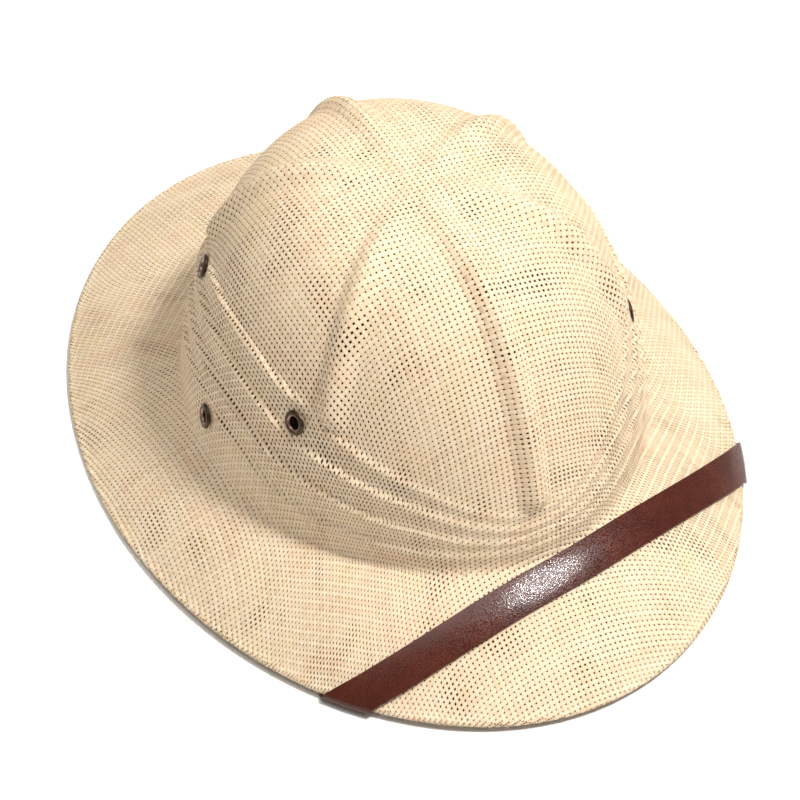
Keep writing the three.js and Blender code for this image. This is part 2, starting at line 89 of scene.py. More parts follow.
# %% [markdown]
# ## Small helpers
# Operators act on whatever is selected, and loading the frame leaves its pieces selected.
# So every step starts by selecting only its own piece. Materials are node trees, and a
# few short helpers add nodes and join them, so that each finish below reads as a recipe.

# %% Helpers for selecting and for material nodes
def select_only(thing):
    if bpy.context.object and bpy.context.object.mode != "OBJECT":
        bpy.ops.object.mode_set(mode="OBJECT")
    bpy.ops.object.select_all(action="DESELECT")
    thing.select_set(True)
    bpy.context.view_layer.objects.active = thing


def new_finish(name, roughness, metallic=0.0, specular=0.5):
    finish = bpy.data.materials.new(name)
    finish.use_nodes = True
    shader = finish.node_tree.nodes["Principled BSDF"]
    shader.inputs["Roughness"].default_value = roughness
    shader.inputs["Metallic"].default_value = metallic
    shader.inputs["Specular IOR Level"].default_value = specular
    return finish, finish.node_tree, shader


def node(tree, kind, inputs=(), **settings):
    made = tree.nodes.new(kind)
    for setting, value in settings.items():
        setattr(made, setting, value)
    for socket, value in dict(inputs).items():
        if isinstance(value, bpy.types.NodeSocket):
            tree.links.new(value, made.inputs[socket])
        else:
            made.inputs[socket].default_value = value
    return made


def ramp(tree, value, stops, between="LINEAR"):
    made = node(tree, "ShaderNodeValToRGB", {"Fac": value})
    made.color_ramp.interpolation = between
    elements = made.color_ramp.elements
    while len(elements) < len(stops):
        elements.new(0.5)
    for element, (position, colour) in zip(elements, stops):
        element.position = position
        element.color = (*colour, 1)
    return made.outputs["Color"]


def mixed(tree, share, first, second, way="MIX"):
    """Two colours mixed; the node keeps its share and its colours on sockets 0, 6 and 7."""
    made = tree.nodes.new("ShaderNodeMix")
    made.data_type = "RGBA"
    made.blend_type = way
    for index, value in ((0, share), (6, first), (7, second)):
        if isinstance(value, bpy.types.NodeSocket):
            tree.links.new(value, made.inputs[index])
        else:
            made.inputs[index].default_value = value if index == 0 else (*value, 1)
    return made.outputs[2]


def bumped(tree, height, strength, distance):
    inputs = {"Height": height, "Strength": strength, "Distance": distance}
    return node(tree, "ShaderNodeBump", inputs).outputs["Normal"]


# %% [markdown]
# ## The shell's form
# The crown is a squarish dome on an oval plan, with six pressed ribs that meet at the top
# and four folds round its foot. The brim slopes from the crown's foot to an oval hem. The
# frame was made from these sizes, so the same few formulas are written here again, for
# whole rows of points at once. Only the folds are pressed a few tenths of a millimetre
# otherwise, because they have to show through the weave. Angles run from the front of
# the helmet, in degrees, with plus towards the wearer's left. Lengths are in millimetres
# until a mesh is made.

# %% Sizes of the shell
BRIM_HALF_LENGTH, BRIM_HALF_WIDTH = 176.4, 135.7
BRIM_DROP, BRIM_FLARE, HEM_RADIUS = 33.3, 0.3, 1.6
# The frame's hem has corners, and its two lowest ones stand 65 degrees below level. In
# front the hem lies on the strap, with a gap between them.
HEM_FOOT_HEIGHT = HEM_RADIUS * math.sin(math.radians(65))
GAP, STRAP_THICKNESS = 0.3, 1.5
STRAP_LIFT = HEM_RADIUS + GAP + STRAP_THICKNESS - HEM_FOOT_HEIGHT
LIFTED_TO, FLAT_FROM = 62, 112
CROWN_HALF_LENGTH, CROWN_HALF_WIDTH = 110.5, 96.6
CROWN_FORWARD, CROWN_HEIGHT, CROWN_LEAN = 9.4, 114, 2
CROWN_FOOT_HEIGHT = BRIM_DROP + HEM_RADIUS
PLAN_SQUARENESS, DOME_FALL, DOME_SHOULDER = 1.91, 1.3, 3.75
WALL = 1.8
RIB_HEIGHT, RIB_HALF_WIDTH, RIB_TOP_SHARE = 4.2, 9, 0.3
RIB_ANGLES = (-131, -50.5, 0, 51, 119, 180)
RIB_RISES_BELOW, RIB_RISEN_ABOVE = 0.01, 0.07
RIB_LOW_WITHIN, RIB_FULL_FROM, RIBS_MEET_WITHIN = 0.05, 0.6, 0.02
FOLD_DEPTH, FOLD_LEDGE, FOLD_FRONT_SHARE = 2.3, 2.8, 0.35
FOLD_DEEPENS_FROM, FOLD_FULL_FROM = 0.1, 0.75
FOLD_FLARE, FOLD_EDGE_SHARE, LAST_FOLD_FOOT = 1.7, 0.2, 0.35
# Each fold has the heights of its crest, as shares of the crown's height, at every 30
# degrees from the front to the back, and its share of the depth.
FOLDS = (
    ((0.205, 0.37, 0.525, 0.59, 0.55, 0.4, 0.23), 0.75),
    ((0.15, 0.28, 0.39, 0.477, 0.44, 0.3, 0.165), 0.95),
    ((0.1, 0.175, 0.26, 0.35, 0.32, 0.2, 0.11), 0.85),
    ((0.058, 0.085, 0.13, 0.235, 0.2, 0.1, 0.06), 0.6),
)
# Each eyelet has its angle and its height on the crown.
EYELETS = {
    "eyelet_right_rear": (-123, 0.49),
    "eyelet_right_low": (-91.5, 0.165),
    "eyelet_right_front": (-60, 0.455),
    "eyelet_left_front": (62, 0.38),
    "eyelet_left_low": (91.5, 0.165),
    "eyelet_left_rear": (109, 0.47),
}
EYELET_RADIUS = 5.25
FLAT_ROUND_EYELET, FULL_ROUND_EYELET = 1, 7
print("brim is", 2 * BRIM_HALF_LENGTH, "mm long and", 2 * BRIM_HALF_WIDTH, "mm wide")


# %% Formulas of the shell
def smooth(value, low, high):
    share = np.clip((value - low) / (high - low), 0, 1)
    return share * share * (3 - 2 * share)


def blend(first, second, share):
    return first + (second - first) * share


def turn_from_front(angle):
    return np.abs((angle + 180) % 360 - 180)


def oval(angle, half_length, half_width, squareness):
    s, c = np.sin(np.radians(angle)), np.cos(np.radians(angle))
    total = np.abs(c / half_length) ** squareness + np.abs(s / half_width) ** squareness
    radius = total ** (-1 / squareness)
    return np.stack([radius * s, -radius * c], -1)


def crown_foot(angle):
    return oval(angle, CROWN_HALF_LENGTH, CROWN_HALF_WIDTH, PLAN_SQUARENESS) - (0, CROWN_FORWARD)


def hem_line(angle):
    edge = oval(angle, BRIM_HALF_LENGTH, BRIM_HALF_WIDTH, 2)
    outward = edge / np.array([BRIM_HALF_WIDTH**2, BRIM_HALF_LENGTH**2])
    return edge - HEM_RADIUS * outward / np.linalg.norm(outward, axis=-1, keepdims=True)


def radius_share(height):
    return (1 - np.clip(height, 0, 1) ** DOME_FALL) ** (1 / DOME_SHOULDER)


def crown_point(angle, height, outwards):
    share = radius_share(height)
    x, y = np.moveaxis(oval(angle, CROWN_HALF_LENGTH, CROWN_HALF_WIDTH, PLAN_SQUARENESS), -1, 0)
    x, y = x * share, y * share
    power = PLAN_SQUARENESS
    steep = DOME_SHOULDER * share ** (DOME_SHOULDER - power)
    normal = np.stack([
        steep * np.sign(x) * np.abs(x) ** (power - 1) / CROWN_HALF_WIDTH**power,
        steep * np.sign(y) * np.abs(y) ** (power - 1) / CROWN_HALF_LENGTH**power,
        DOME_FALL * height ** (DOME_FALL - 1) / CROWN_HEIGHT + 0 * x,
    ], -1)
    normal /= np.linalg.norm(normal, axis=-1, keepdims=True)
    point = np.stack([
        x - CROWN_LEAN * height,
        y - CROWN_FORWARD,
        CROWN_FOOT_HEIGHT + CROWN_HEIGHT * height + 0 * x,
    ], -1)
    return point + normal * np.asarray(outwards)[..., None], normal


def fold_height(crests, angle):
    """Height of a fold's crest: a smooth line through its seven heights."""
    turned = turn_from_front(angle) / 30
    index = np.minimum(turned.astype(int), 5)
    row = np.array([crests[1], *crests, crests[5]])
    before, start, end, after = (row[index + step] for step in range(4))
    t = turned - index
    slope, next_slope, span = (end - before) / 2, (after - start) / 2, end - start
    return (start + slope * t + (3 * span - 2 * slope - next_slope) * t**2
            + (slope + next_slope - 2 * span) * t**3)


def rib_crest(angle, height):
    """1 on the crest of a rib, 0 beside it."""
    share = radius_share(height)
    plan = oval(angle, CROWN_HALF_LENGTH, CROWN_HALF_WIDTH, PLAN_SQUARENESS)
    foot = np.linalg.norm(plan, axis=-1)
    best = np.zeros(np.broadcast(angle, height).shape)
    for rib in RIB_ANGLES:
        turn = np.radians(angle - rib)
        aside = np.minimum(1, np.abs(share * foot * np.sin(turn)) / RIB_HALF_WIDTH)
        crest = 0.5 + 0.5 * np.cos(np.pi * aside)
        opposite = (np.cos(turn) < 0) & (share > RIBS_MEET_WITHIN)
        best = np.maximum(best, np.where(opposite, 0, crest))
    return best


def relief(angle, height):
    """How far the pressed ribs and folds stand out of the crown's plain form."""
    first = fold_height(FOLDS[0][0], angle)
    share = radius_share(height)
    risen = smooth(height, first - RIB_RISES_BELOW, first + RIB_RISEN_ABOVE)
    full = blend(RIB_TOP_SHARE, 1, smooth(share, RIB_LOW_WITHIN, RIB_FULL_FROM))
    ribs = RIB_HEIGHT * risen * full * rib_crest(angle, height)
    side = smooth(np.abs(np.sin(np.radians(angle))), FOLD_DEEPENS_FROM, FOLD_FULL_FROM)
    strength = FOLD_DEPTH * blend(FOLD_FRONT_SHARE, 1, side)
    ledge = FOLD_LEDGE / CROWN_HEIGHT
    folds = 0 * ribs
    for index, (crests, depth) in enumerate(FOLDS):
        crest = fold_height(crests, angle)
        if index + 1 < len(FOLDS):
            below = fold_height(FOLDS[index + 1][0], angle) + ledge
        else:
            below = LAST_FOLD_FOOT * crest
        above = smooth(height, crest + ledge, crest - FOLD_EDGE_SHARE * ledge)
        fall = np.clip((height - below) / (crest - below), 0, 1) ** FOLD_FLARE
        folds = np.maximum(folds, strength * depth * np.where(height < crest, fall, above))
    out = np.maximum(ribs, folds)
    point, _ = crown_point(angle, height, 0 * out)
    for eyelet_angle, eyelet_height in EYELETS.values():
        centre, _ = crown_point(np.float64(eyelet_angle), np.float64(eyelet_height), 0)
        away = np.linalg.norm(point - centre, axis=-1)
        flat, full = EYELET_RADIUS + FLAT_ROUND_EYELET, EYELET_RADIUS + FULL_ROUND_EYELET
        out = out * smooth(away, flat, full)
    return out


front_rib = relief(np.float64(0), np.float64(0.6))
print("the front rib stands out by", front_rib.round(2), "mm above the folds")


# %% [markdown]
# ## One sheet over the whole shell
# The real shell is a single flat sheet of weave, steamed and pulled over a block. On such
# a sheet a point is known by how far it lies from the middle and in which direction, and
# pulling keeps that distance along the shell, while the rim of the sheet is squeezed
# together round the crown. So the shell is measured as rays: each runs from the top of
# the crown down to the hem, round it, and is read by the distance walked along it.
# Flat places on the sheet can then be looked up on the shell.

# %% Rays from the top to the turned hem
RAYS = 960
RAY_STEP = 1.0
OVER = 0.12
HALF_THICKNESS = 0.1
STRAW_MIDDLE = OVER + HALF_THICKNESS
CROWN_STOPS, FILLET_STOPS, SLOPE_STOPS, HEM_STOPS = 320, 9, 60, 16
FOOT_RISE, LOW_FOLD_SHARE, POLE_SHARE = 3, 0.5, 0.002
FILLET_REACH, HEM_REACH = 2.2, 2.6
HEM_FROM, HEM_TO = 96, -160
# The flat chart reaches well past the hem. Its plain rays are softened over a few steps
# on either side, so that the net below meets no sharp bend.
CHART_EDGE = 300
SOFTENED = 6
ray_angles = np.arange(RAYS) * 360.0 / RAYS - 180


def ray_points(angle, pressed):
    """Middle of the straw along one set of rays, from the top, as rows of points.

    Without pressing it is the plain dome and a brim that runs straight on past the hem.
    """
    lowest = fold_height(FOLDS[-1][0], angle)
    rise = np.minimum(FOOT_RISE / CROWN_HEIGHT, LOW_FOLD_SHARE * lowest)
    walk = np.linspace(POLE_SHARE, 1, CROWN_STOPS)[:, None] ** (DOME_SHOULDER / 2) * np.pi / 2
    height = rise + (1 - rise) * np.cos(walk) ** (2 / DOME_FALL)
    raised = relief(angle[None], height) * pressed
    crown, _ = crown_point(angle[None], height, raised - STRAW_MIDDLE)
    top_point = (-CROWN_LEAN, -CROWN_FORWARD, crown[0, :, 2].mean())
    crown = np.concatenate([np.broadcast_to(top_point, crown[:1].shape), crown])

    foot, hem = crown_foot(angle), hem_line(angle)
    along = hem - foot
    reach = np.linalg.norm(along, axis=-1)
    along = along / reach[:, None]
    foot, reach = foot - along * WALL / 2, reach + WALL / 2
    top = CROWN_FOOT_HEIGHT - WALL / 2
    lifted = 1 - smooth(turn_from_front(angle), LIFTED_TO, FLAT_FROM)
    drop = top - HEM_FOOT_HEIGHT - STRAP_LIFT * lifted

    def brim(share):
        fall = (1 - BRIM_FLARE) * share + BRIM_FLARE * share**2
        steep = (1 - BRIM_FLARE + 2 * BRIM_FLARE * share) * drop / reach
        square = np.concatenate([along * steep[..., None], 1 + 0 * steep[..., None]], -1)
        square /= np.linalg.norm(square, axis=-1, keepdims=True)
        plan = foot + along * (reach * share)[..., None]
        middle = np.concatenate([plan, (top - drop * fall)[..., None]], -1)
        return middle + (WALL / 2 - STRAW_MIDDLE) * square

    start = FILLET_REACH / reach
    corner = crown_point(angle, 0 * angle, 0 * angle - STRAW_MIDDLE)[0]
    corner[:, 2] -= STRAW_MIDDLE
    turn = np.linspace(0, 1, FILLET_STOPS)[1:, None, None]
    fillet = (1 - turn)**2 * crown[-1] + 2 * turn * (1 - turn) * corner + turn**2 * brim(start)
    shares = np.linspace(0, 1, SLOPE_STOPS)[1:, None]
    slope = brim(blend(start, 1 - HEM_REACH / reach, shares))
    edge = np.concatenate([hem, (top - drop)[:, None]], -1)
    outward = np.concatenate([along, 0 * reach[:, None]], -1)
    turns = np.radians(np.linspace(HEM_FROM, HEM_TO, HEM_STOPS))[:, None, None]
    spokes = np.cos(turns) * outward + np.sin(turns) * np.array([0, 0, 1])
    bead = edge + (HEM_RADIUS - STRAW_MIDDLE) * spokes
    if not pressed:
        onward = slope[-1] - slope[-2]
        onward /= np.linalg.norm(onward, axis=-1, keepdims=True)
        unrolled = np.radians(np.linspace(0, HEM_FROM - HEM_TO, HEM_STOPS))
        run = HEM_REACH + unrolled * (HEM_RADIUS - STRAW_MIDDLE)
        bead = slope[-1] + run[:, None, None] * onward
    return np.concatenate([crown, fillet, slope, bead])


def even_steps(points, distances):
    """The rays' points again, at every whole step of distance."""
    return np.stack([
        np.stack([np.interp(steps, distances[:, i], points[:, i, axis]) for axis in range(3)], -1)
        for i in range(RAYS)
    ])


plain = ray_points(ray_angles, False)
walked = np.linalg.norm(np.diff(plain, axis=0), axis=-1).cumsum(axis=0)
walked = np.concatenate([np.zeros((1, RAYS)), walked])
ray_length, hem_start = walked[-1], walked[-HEM_STOPS]
steps = np.arange(0, CHART_EDGE + RAY_STEP, RAY_STEP)
rays = even_steps(ray_points(ray_angles, True), walked)

onward = (plain[-1] - plain[-2]) / (walked[-1] - walked[-2])[:, None]
far_end = plain[-1] + onward * (CHART_EDGE - ray_length)[:, None]
plain_rays = even_steps(
    np.concatenate([plain, far_end[None]]),
    np.concatenate([walked, np.full((1, RAYS), CHART_EDGE)]),
)
padding = ((0, 0), (SOFTENED, SOFTENED), (0, 0))
padded = np.pad(plain_rays, padding, "reflect", reflect_type="odd")
shifted = [padded[:, shift:shift + len(steps)] for shift in range(2 * SOFTENED + 1)]
plain_rays = np.mean(shifted, axis=0)
print("rays are", ray_length.min().round(1), "to", ray_length.max().round(1), "mm long")


def on_table(table, angle, distance):
    """Smooth look-up between the rays and between the steps along them."""
    column = (angle + 180) / 360 * RAYS
    row = np.clip(distance / RAY_STEP, 0, table.shape[1] - 1.001)
    c, r = np.floor(column).astype(int), np.floor(row).astype(int)
    fc, fr = (column - c)[..., None], (row - r)[..., None]
    near = table[c % RAYS, r] * (1 - fr) + table[c % RAYS, r + 1] * fr
    far = table[(c + 1) % RAYS, r] * (1 - fr) + table[(c + 1) % RAYS, r + 1] * fr
    return near * (1 - fc) + far * fc


down_ray = np.gradient(rays, axis=1)
around = np.roll(rays, -2, axis=0) - np.roll(rays, 2, axis=0)
outward_table = np.cross(down_ray, around)
outward_table /= np.maximum(np.linalg.norm(outward_table, axis=-1, keepdims=True), 1e-9)
outward_table[:, :3] = (0, 0, 1)


def ray_place(chart):
    """Angle and distance of a point on a flat chart that has the crown's top in its middle."""
    x, y = chart[..., 0], chart[..., 1]
    return np.degrees(np.arctan2(x, -y)), np.hypot(x, y)


# %% [markdown]
# ## How the strands run
# Woven straw hardly stretches along a strand, so the sheet fits the dome as a net does:
# every mesh of the net keeps its two side lengths, and only the angle between them gives
# way, most of all towards the four corners. That can be worked out mesh by mesh. The two
# middle strands lie along the front-to-back and the side-to-side ray. Every next crossing
# is the one point of the dome that lies one strand's spacing from each of its two
# neighbours. Newton's method finds it, for a whole diagonal row of crossings at once.

# %% Net of crossings over the dome
PITCH_ACROSS, PITCH_ALONG = 2.4, 2.2
NET = 126
ROUNDS = 6
NUDGE, LEAST_SPREAD, MOST_MOVE = 0.5, 0.2, 1
OUTER_BAND = 12
# The real straw gives a little, so the net is blended with an even sheet by this share.
GIVE = 0.18


def on_plain(chart):
    return on_table(plain_rays, *ray_place(chart))


def spaced_ray(direction, pitch):
    """Chart places at even spacing along one of the four rays that the middle strands take."""
    direction = np.array(direction, float)
    fine = np.arange(0, steps[-1], 0.25)
    points = on_plain(fine[:, None] * direction)
    walk = np.concatenate([[0], np.linalg.norm(np.diff(points, axis=0), axis=1).cumsum()])
    wanted = np.arange(NET + 1) * pitch
    beyond = np.maximum(0, wanted - walk[-1])
    return (np.interp(wanted, walk, fine) + beyond)[:, None] * direction


net = np.zeros((2, 2, NET + 1, NET + 1, 2))
for side, sign_u in enumerate((-1, 1)):
    for end, sign_v in enumerate((-1, 1)):
        net[side, end, :, 0] = spaced_ray((sign_u, 0), PITCH_ACROSS)
        net[side, end, 0, :] = spaced_ray((0, sign_v), PITCH_ALONG)

for diagonal in range(2, 2 * NET + 1):
    i = np.arange(max(1, diagonal - NET), min(NET, diagonal - 1) + 1)
    j = diagonal - i
    first, second, behind = net[:, :, i - 1, j], net[:, :, i, j - 1], net[:, :, i - 1, j - 1]
    ends = np.stack([on_plain(first), on_plain(second)])
    wanted = np.array([PITCH_ACROSS, PITCH_ALONG])[:, None, None, None]
    place = first + second - behind
    for _ in range(ROUNDS):
        tries = np.stack([place, place + (NUDGE, 0), place + (0, NUDGE)])
        away = np.linalg.norm(on_plain(tries)[:, None] - ends, axis=-1)
        miss = wanted - away[0]
        (a, b), (c, d) = (away[1] - away[0]) / NUDGE, (away[2] - away[0]) / NUDGE
        spread = a * d - b * c
        guard = np.where(spread < 0, -LEAST_SPREAD, LEAST_SPREAD)
        spread = np.where(np.abs(spread) < LEAST_SPREAD, guard, spread)
        move = np.stack([miss[0] * d - miss[1] * c, miss[1] * a - miss[0] * b], -1)
        place = place + np.clip(move / spread[..., None], -MOST_MOVE, MOST_MOVE)
    reach = np.maximum(np.linalg.norm(first, axis=-1), np.linalg.norm(second, axis=-1))
    outer = first + second
    outer *= ((reach + 1) / np.linalg.norm(outer, axis=-1))[..., None]
    net[:, :, i, j] = np.where(reach[..., None] > CHART_EDGE - OUTER_BAND, outer, place)

chart_of = np.zeros((2 * NET + 1, 2 * NET + 1, 2))
for side, row in enumerate((slice(NET, None, -1), slice(NET, None))):
    for end, column in enumerate((slice(NET, None, -1), slice(NET, None))):
        chart_of[row, column] = net[side, end]
numbers = np.arange(-NET, NET + 1)
even = np.meshgrid(numbers * PITCH_ACROSS, numbers * PITCH_ALONG, indexing="ij")
flat_chart = np.stack(even, -1)
chart_of = blend(chart_of, flat_chart, GIVE)
print("net of", chart_of.shape[0], "by", chart_of.shape[1], "crossings")


def on_chart(i, j):
    """Chart place of a spot of the sheet, which is counted in crossings from its middle."""
    i, j = np.clip(i + NET, 0, 2 * NET - 0.001), np.clip(j + NET, 0, 2 * NET - 0.001)
    low_i, low_j = np.floor(i).astype(int), np.floor(j).astype(int)
    fi, fj = (i - low_i)[..., None], (j - low_j)[..., None]
    near = chart_of[low_i, low_j] * (1 - fi) + chart_of[low_i + 1, low_j] * fi
    far = chart_of[low_i, low_j + 1] * (1 - fi) + chart_of[low_i + 1, low_j + 1] * fi
    return near * (1 - fj) + far * fj


def on_shell(i, j, lift):
    """Spots of the sheet, lifted off its middle, on the pressed shell."""
    place = ray_place(on_chart(i, j))
    return on_table(rays, *place) + on_table(outward_table, *place) * lift[..., None]


# %% [markdown]
# ## Weave
# A plain weave has two sets of strands, and each strand goes over and under the others in
# turn. A bumpy picture of it would look right only from far away, so every strand is a
# real ribbon here: four points round it, set down twice at each crossing, high where it
# goes over and low where it goes under. Tens of thousands of crossings are too many for
# tools used by hand, so the points are worked out in one go and given to a mesh. Uneven
# widths and slight wandering come from one seeded source, so each run weaves alike. The
# strands are narrower on the steep right side of the crown and in some loose spots, where
# the holes between them show most.

# %% Uneven hand of the weave
COVER = 0.79
# What a strand loses of its cover by soft clouds, by loose patches, on the steep side of
# the crown and on its right, and how far its width and its place vary.
SOFT_LOSS, PATCH_LOSS, STEEP_LOSS, RIGHT_LOSS = 0.06, 0.13, 0.03, 0.08
JITTER, WANDER = 0.06, 0.2
# From where to where each of these grows: distances from the top are in millimetres.
PATCH, RIGHT_SIDE = (0.62, 0.9), (0.35, 0.85)
STEEP, STEEP_ON_RIGHT, ONTO_BRIM = (70, 110), (60, 105), (140, 160)
random = np.random.default_rng(7)


def cloud(cell, size=300):
    """Soft random values from 0 to 1 over the sheet, in blotches of about one cell."""
    count = int(2 * size / cell) + 4
    grid = random.random((count, count))

    def read(u, v):
        x, y = (u + size) / cell + 1, (v + size) / cell + 1
        i, j = np.floor(x).astype(int), np.floor(y).astype(int)
        fx, fy = x - i, y - j
        fx, fy = fx * fx * (3 - 2 * fx), fy * fy * (3 - 2 * fy)
        low = grid[i, j] * (1 - fx) + grid[i + 1, j] * fx
        high = grid[i, j + 1] * (1 - fx) + grid[i + 1, j + 1] * fx
        return low * (1 - fy) + high * fy

    return read


openness = cloud(cell=9)
patches = cloud(cell=12)
wander_u, wander_v = cloud(cell=14), cloud(cell=14)
jitter = cloud(cell=2.75)


def strand_cover(u, v, angle, distance):
    """Width of a strand as a share of the pitch: less where the sheet was pulled open."""
    right = smooth(-np.sin(np.radians(angle)), *RIGHT_SIDE)
    steep, brim = smooth(distance, *STEEP), smooth(distance, *ONTO_BRIM)
    pulled = STEEP_LOSS * steep + RIGHT_LOSS * right * smooth(distance, *STEEP_ON_RIGHT)
    patch = smooth(patches(u, v), *PATCH)
    loose = SOFT_LOSS * openness(u, v) + PATCH_LOSS * patch + pulled * (1 - brim)
    return COVER - loose + JITTER * (jitter(u, v) - 0.5)


print("strands cover at most", round(COVER + JITTER / 2, 2), "of their spacing")


# %% Sizes of a strand, and room for the eyelets
BARREL_SEAT = 3.1
# Four points round a strand, as shares of its half width and half thickness.
SECTION = ((-0.84, 1), (0.84, 1), (1, -0.5), (-1, -0.5))
# A strand is set down this share of a crossing before and after each crossing's middle.
STOP = 0.26
PRESSED_AT_HEM, HEM_PRESS_FROM, HEM_PRESS_TO = 0.7, 5, 1
# On the map each strand has one unit, and its four sides take a band of that unit each.
SIDE_START, SIDE_BAND = 0.02, 0.24
ABOVE_FLOOR = 0.03


def round_the_eyelets(vertices, faces):
    """Pushes strands out of the eyelets' holes and drops what lies wholly inside them."""
    inside = np.zeros(len(vertices), bool)
    for angle, height in EYELETS.values():
        origin, axis = crown_point(np.float64(angle), np.float64(height), 0)
        away = vertices - origin
        along = away @ axis
        away = away - along[:, None] * axis
        distance = np.linalg.norm(away, axis=1)
        pushed = (distance < BARREL_SEAT) & (np.abs(along) < 2 * EYELET_RADIUS)
        moves = away[pushed] * (BARREL_SEAT / np.maximum(distance[pushed], 0.01) - 1)[:, None]
        vertices[pushed] += moves
        inside |= pushed
    return vertices, ~inside[faces].all(axis=1)


# %% Make one piece of weave
def weave(name, lengthwise, first, last):
    """One piece of the sheet: the strands of one direction with numbers first to last."""
    vertices, faces, places = [], [], []
    stops = (numbers[:, None] + (-STOP, STOP)).ravel()
    crossing = np.repeat(numbers, 2)
    made = 0
    for index in range(first, last):
        over = np.where((crossing + index) % 2 == 0, 1.0, -1.0)
        if lengthwise:
            i, j = index + 0 * stops, stops
        else:
            i, j = stops, index + 0 * stops
            over = -over
        angle, distance = ray_place(on_chart(i, j))
        inside = distance < np.interp(angle, ray_angles, ray_length, period=360)
        if inside.sum() < 3:
            continue
        i, j, over, strand_stops = i[inside], j[inside], over[inside], stops[inside]
        u, v = i * PITCH_ACROSS, j * PITCH_ALONG
        half = 0.5 * strand_cover(u, v, angle[inside], distance[inside])
        aside = WANDER * ((wander_u(u, v) if lengthwise else wander_v(u, v)) - 0.5)
        hem = np.interp(angle[inside], ray_angles, hem_start, period=360)
        near_hem = smooth(distance[inside], hem - HEM_PRESS_FROM, hem - HEM_PRESS_TO)
        pressed = blend(1, PRESSED_AT_HEM, near_hem)
        rows = []
        for side, height in SECTION:
            shift = aside + side * half
            lift = pressed * (OVER * over + HALF_THICKNESS * height)
            across = (i + shift, j) if lengthwise else (i, j + shift)
            rows.append(on_shell(*across, lift))
        joined = np.flatnonzero(np.diff(np.flatnonzero(inside)) == 1)
        ring = np.arange(4)
        base = made + 4 * joined[:, None] + ring
        turned = made + 4 * joined[:, None] + np.roll(ring, -1)
        vertices.append(np.stack(rows, 1).reshape(-1, 3))
        made += len(vertices[-1])
        quads = np.stack([base, turned, turned + 4, base + 4], -1)
        here = strand_stops[joined, None] + 0 * ring
        there = strand_stops[joined + 1, None] + 0 * ring
        low = index + SIDE_START + SIDE_BAND * ring + 0 * here
        high = index + SIDE_START + SIDE_BAND * (ring + 1) + 0 * here
        corners = np.stack([
            np.stack([here, low], -1), np.stack([here, high], -1),
            np.stack([there, high], -1), np.stack([there, low], -1),
        ], -2)
        if not lengthwise:
            quads, corners = quads[..., ::-1], corners[..., ::-1, :]
        faces.append(quads.reshape(-1, 4))
        places.append(corners.reshape(-1, 2))
    vertices, faces = np.concatenate(vertices), np.concatenate(faces)
    vertices, kept = round_the_eyelets(vertices, faces)
    faces, places = faces[kept], np.concatenate(places)[np.repeat(kept, 4)]
    used, faces = np.unique(faces, return_inverse=True)
    vertices, faces = vertices[used] * MM, faces.reshape(-1, 4)
    vertices[:, 2] = np.maximum(vertices[:, 2], ABOVE_FLOOR * MM)
    mesh = bpy.data.meshes.new(name)
    mesh.from_pydata(vertices.tolist(), [], faces.tolist())
    layer = mesh.uv_layers.new(name="strand")
    layer.data.foreach_set("uv", places.ravel())
    mesh.update()
    piece = bpy.data.objects.new(name, mesh)
    bpy.context.scene.collection.objects.link(piece)
    select_only(piece)
    bpy.ops.object.mode_set(mode="EDIT")
    bpy.ops.mesh.select_all(action="SELECT")
    bpy.ops.mesh.fill_holes(sides=0)
    bpy.ops.object.mode_set(mode="OBJECT")
    bpy.ops.object.shade_smooth_by_angle(angle=math.radians(40))
    print(name, "has", sum(len(face.vertices) - 2 for face in mesh.polygons), "triangles")
    return piece


# %% Weave the six pieces
straw_pieces = [
    weave("straw_lengthwise_right", True, -110, -26),
    weave("straw_lengthwise_middle", True, -26, 26),
    weave("straw_lengthwise_left", True, 26, 110),
    weave("straw_crosswise_front", False, -120, -30),
    weave("straw_crosswise_middle", False, -30, 30),
    weave("straw_crosswise_back", False, 30, 120),
]
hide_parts("straw_shell")
for piece in straw_pieces:
    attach(piece, "root")

# %% [markdown]
# ## Straw finish
# The strands are twisted paper straw: dull cream with a slight tan, each strand a little
# different, with fine fibres along it. The pattern follows the strand's own map, where
# one direction counts crossings along the strand and the other counts strands, so each
# strand can have its own tint. Within a strand's unit the map also tells its four sides
# apart: the outer face keeps the full colour, the edges get a painted shade, and the inner
# face gets the darkest painted shade, which stands in for the shade deep in the helmet and
# between the strands, so that the holes read dark. Broad pinkish and yellowish clouds are
# laid over it in Object coordinates, because they pass over strands of both directions.

# %% Straw finish
straw, tree, shader = new_finish("straw", roughness=0.62, specular=0.35)
strand_map = node(tree, "ShaderNodeUVMap", uv_map="strand").outputs["UV"]
split = node(tree, "ShaderNodeSeparateXYZ", {"Vector": strand_map})
strand_number = node(tree, "ShaderNodeMath", {0: split.outputs["Y"]}, operation="FLOOR").outputs[0]
own_tint = node(tree, "ShaderNodeTexWhiteNoise", {"W": strand_number}, noise_dimensions="1D")
fibre_place = node(tree, "ShaderNodeMapping", {"Vector": strand_map, "Scale": (0.9, 9, 1)})
fibres = node(tree, "ShaderNodeTexNoise", {
    "Vector": fibre_place.outputs[0], "Scale": 3.0, "Detail": 4.0, "Roughness": 0.6,
})
everywhere = node(tree, "ShaderNodeTexCoord").outputs["Object"]
clouds = node(tree, "ShaderNodeTexNoise", {"Vector": everywhere, "Scale": 60.0, "Detail": 2.0})
tint = ramp(tree, own_tint.outputs["Value"], (
    (0.0, (0.70, 0.54, 0.37)), (0.35, (0.81, 0.66, 0.47)), (1.0, (0.87, 0.74, 0.56)),
))
streaked = mixed(tree, 0.5, tint, ramp(tree, fibres.outputs["Fac"], (
    (0.25, (0.64, 0.47, 0.30)), (0.5, (0.82, 0.68, 0.49)), (0.75, (0.92, 0.81, 0.64)),
)))
